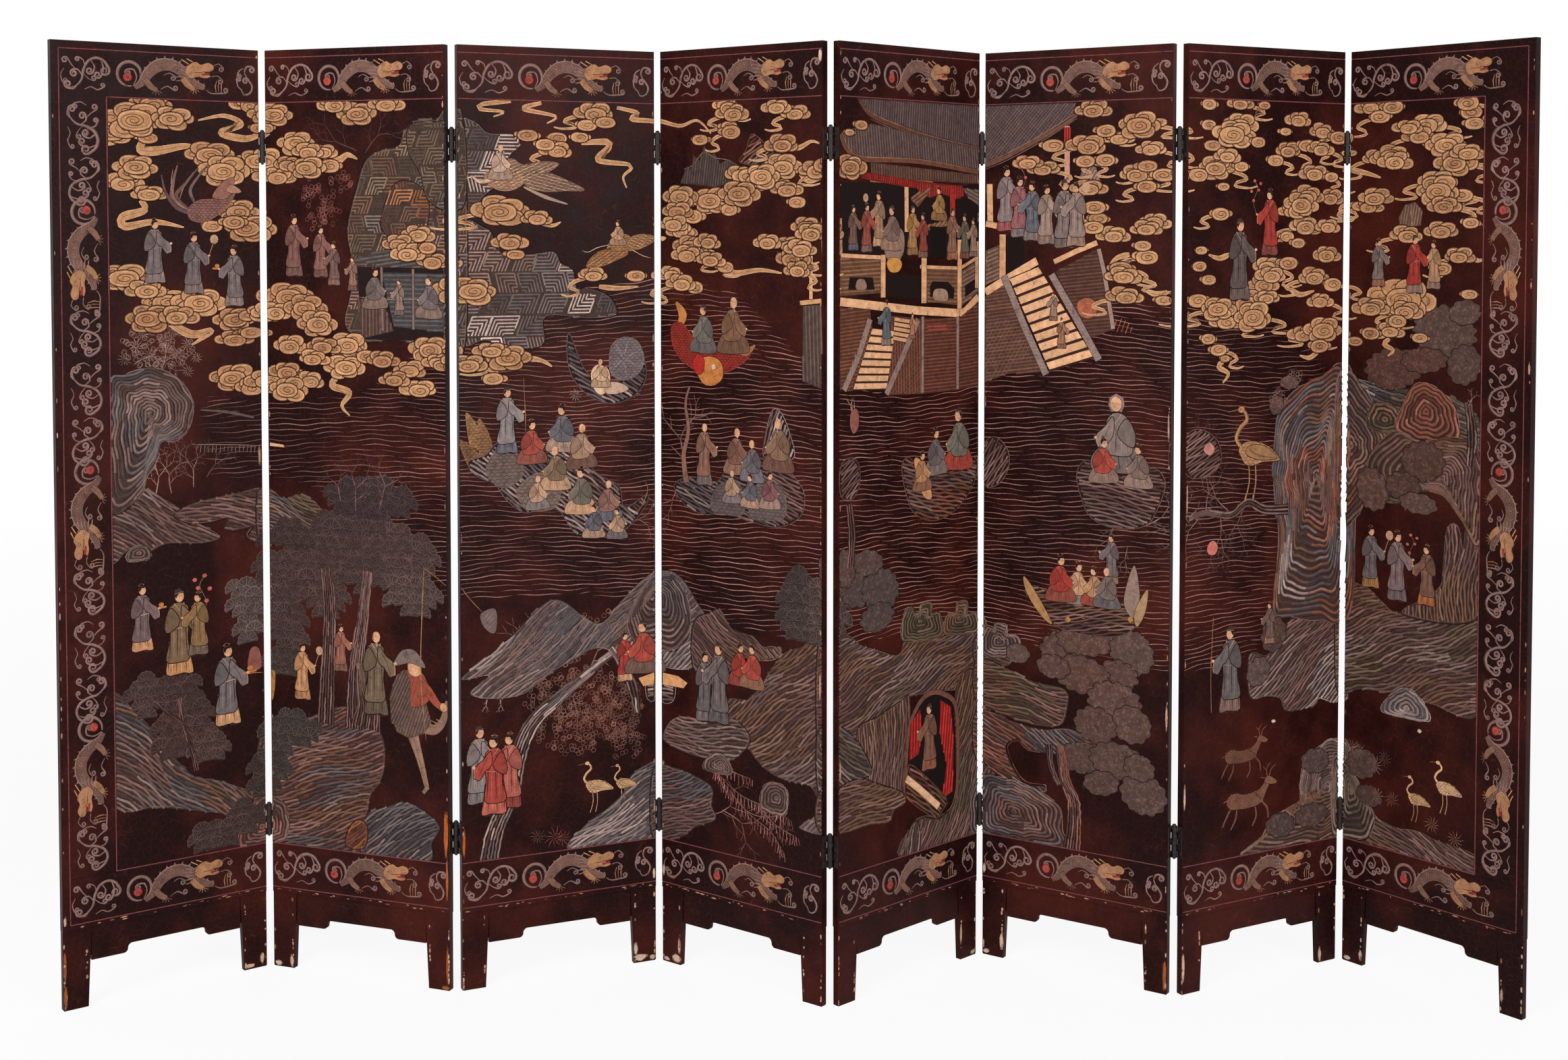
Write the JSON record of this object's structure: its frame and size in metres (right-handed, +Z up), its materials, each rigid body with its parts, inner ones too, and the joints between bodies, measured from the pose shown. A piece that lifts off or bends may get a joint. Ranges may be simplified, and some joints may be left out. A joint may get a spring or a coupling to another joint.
{
  "type": "folding lacquer screen",
  "caption": "Tall folding room screen of hinged leaves in dark lacquer with incised, coloured ornament, standing in a zigzag on post feet.",
  "frame": {"origin": "middle of the bounding box at floor level, as the screen stands", "axes": "+X along the screen, to the right seen from the front; -Y is where the carved fronts face; +Z up"},
  "size_m": [3.1674, 0.4103, 2.1],
  "materials": {
    "lacquer": "old dark aubergine lacquer, satin, incised and coloured",
    "lacquered_wood": "dark lacquer over wood, worn at the arrises",
    "core_wood": "bare softwood boards",
    "hinge_iron": "dark forged iron, dull",
    "carving_pale": "matt cream and peach pigment in the incised ornament",
    "carving_grey": "matt grey and mauve pigment in the incised ornament",
    "carving_earth": "matt ochre and brown pigment in the incised ornament",
    "carving_red": "matt red pigment in the incised ornament",
    "carving_dark": "dark lacquer lines left standing in the ornament",
    "gesso": "bare gesso where the lacquer is chipped"
  },
  "bodies": {
    "leaf_1": {"leaf_1_core_boards": "core_wood", "leaf_1_left_post": "lacquered_wood", "leaf_1_right_post": "lacquered_wood", "leaf_1_apron": "lacquered_wood", "leaf_1_lacquer_ground": "lacquer", "leaf_1_hinge_plates": "hinge_iron", "hinge_pins_1_2": "hinge_iron"},
    "leaf_2": {"leaf_2_core_boards": "core_wood", "leaf_2_left_post": "lacquered_wood", "leaf_2_right_post": "lacquered_wood", "leaf_2_apron": "lacquered_wood", "leaf_2_lacquer_ground": "lacquer", "leaf_2_hinge_plates": "hinge_iron", "hinge_pins_2_3": "hinge_iron"},
    "leaf_3": {"leaf_3_core_boards": "core_wood", "leaf_3_left_post": "lacquered_wood", "leaf_3_right_post": "lacquered_wood", "leaf_3_apron": "lacquered_wood", "leaf_3_lacquer_ground": "lacquer", "leaf_3_hinge_plates": "hinge_iron", "hinge_pins_3_4": "hinge_iron"},
    "leaf_4": {"leaf_4_core_boards": "core_wood", "leaf_4_left_post": "lacquered_wood", "leaf_4_right_post": "lacquered_wood", "leaf_4_apron": "lacquered_wood", "leaf_4_lacquer_ground": "lacquer", "leaf_4_hinge_plates": "hinge_iron", "hinge_pins_4_5": "hinge_iron"},
    "leaf_5": {"leaf_5_core_boards": "core_wood", "leaf_5_left_post": "lacquered_wood", "leaf_5_right_post": "lacquered_wood", "leaf_5_apron": "lacquered_wood", "leaf_5_lacquer_ground": "lacquer", "leaf_5_hinge_plates": "hinge_iron", "hinge_pins_5_6": "hinge_iron"},
    "leaf_6": {"leaf_6_core_boards": "core_wood", "leaf_6_left_post": "lacquered_wood", "leaf_6_right_post": "lacquered_wood", "leaf_6_apron": "lacquered_wood", "leaf_6_lacquer_ground": "lacquer", "leaf_6_hinge_plates": "hinge_iron", "hinge_pins_6_7": "hinge_iron"},
    "leaf_7": {"leaf_7_core_boards": "core_wood", "leaf_7_left_post": "lacquered_wood", "leaf_7_right_post": "lacquered_wood", "leaf_7_apron": "lacquered_wood", "leaf_7_lacquer_ground": "lacquer", "leaf_7_hinge_plates": "hinge_iron", "hinge_pins_7_8": "hinge_iron"},
    "leaf_8": {"leaf_8_core_boards": "core_wood", "leaf_8_left_post": "lacquered_wood", "leaf_8_right_post": "lacquered_wood", "leaf_8_apron": "lacquered_wood", "leaf_8_lacquer_ground": "lacquer", "leaf_8_hinge_plates": "hinge_iron"}
  },
  "joints": [
    {"name": "fold_1_2", "type": "hinge", "parent": "leaf_2", "child": "leaf_1", "pos_m": [-1.19629, 0.11528, 0], "axis": [0, 0, 1], "range_deg": [-56.5, 123.5]},
    {"name": "fold_2_3", "type": "hinge", "parent": "leaf_3", "child": "leaf_2", "pos_m": [-0.74275, -0.02745, 0], "axis": [0, 0, -1], "range_deg": [-44.5, 135.5]},
    {"name": "fold_3_4", "type": "hinge", "parent": "leaf_4", "child": "leaf_3", "pos_m": [-0.30181, 0.15042, 0], "axis": [0, 0, 1], "range_deg": [-62, 118]},
    {"name": "fold_4_5", "type": "hinge", "parent": "leaf_4", "child": "leaf_5", "pos_m": [0.08782, -0.12208, 0], "axis": [0, 0, 1], "range_deg": [-81.5, 98.5]},
    {"name": "fold_5_6", "type": "hinge", "parent": "leaf_5", "child": "leaf_6", "pos_m": [0.44409, 0.19278, 0], "axis": [0, 0, -1], "range_deg": [-77.5, 102.5]},
    {"name": "fold_6_7", "type": "hinge", "parent": "leaf_6", "child": "leaf_7", "pos_m": [0.85178, -0.05188, 0], "axis": [0, 0, 1], "range_deg": [-62.5, 117.5]},
    {"name": "fold_7_8", "type": "hinge", "parent": "leaf_7", "child": "leaf_8", "pos_m": [1.2774, 0.16004, 0], "axis": [0, 0, -1], "range_deg": [-80.5, 99.5]}
  ]
}
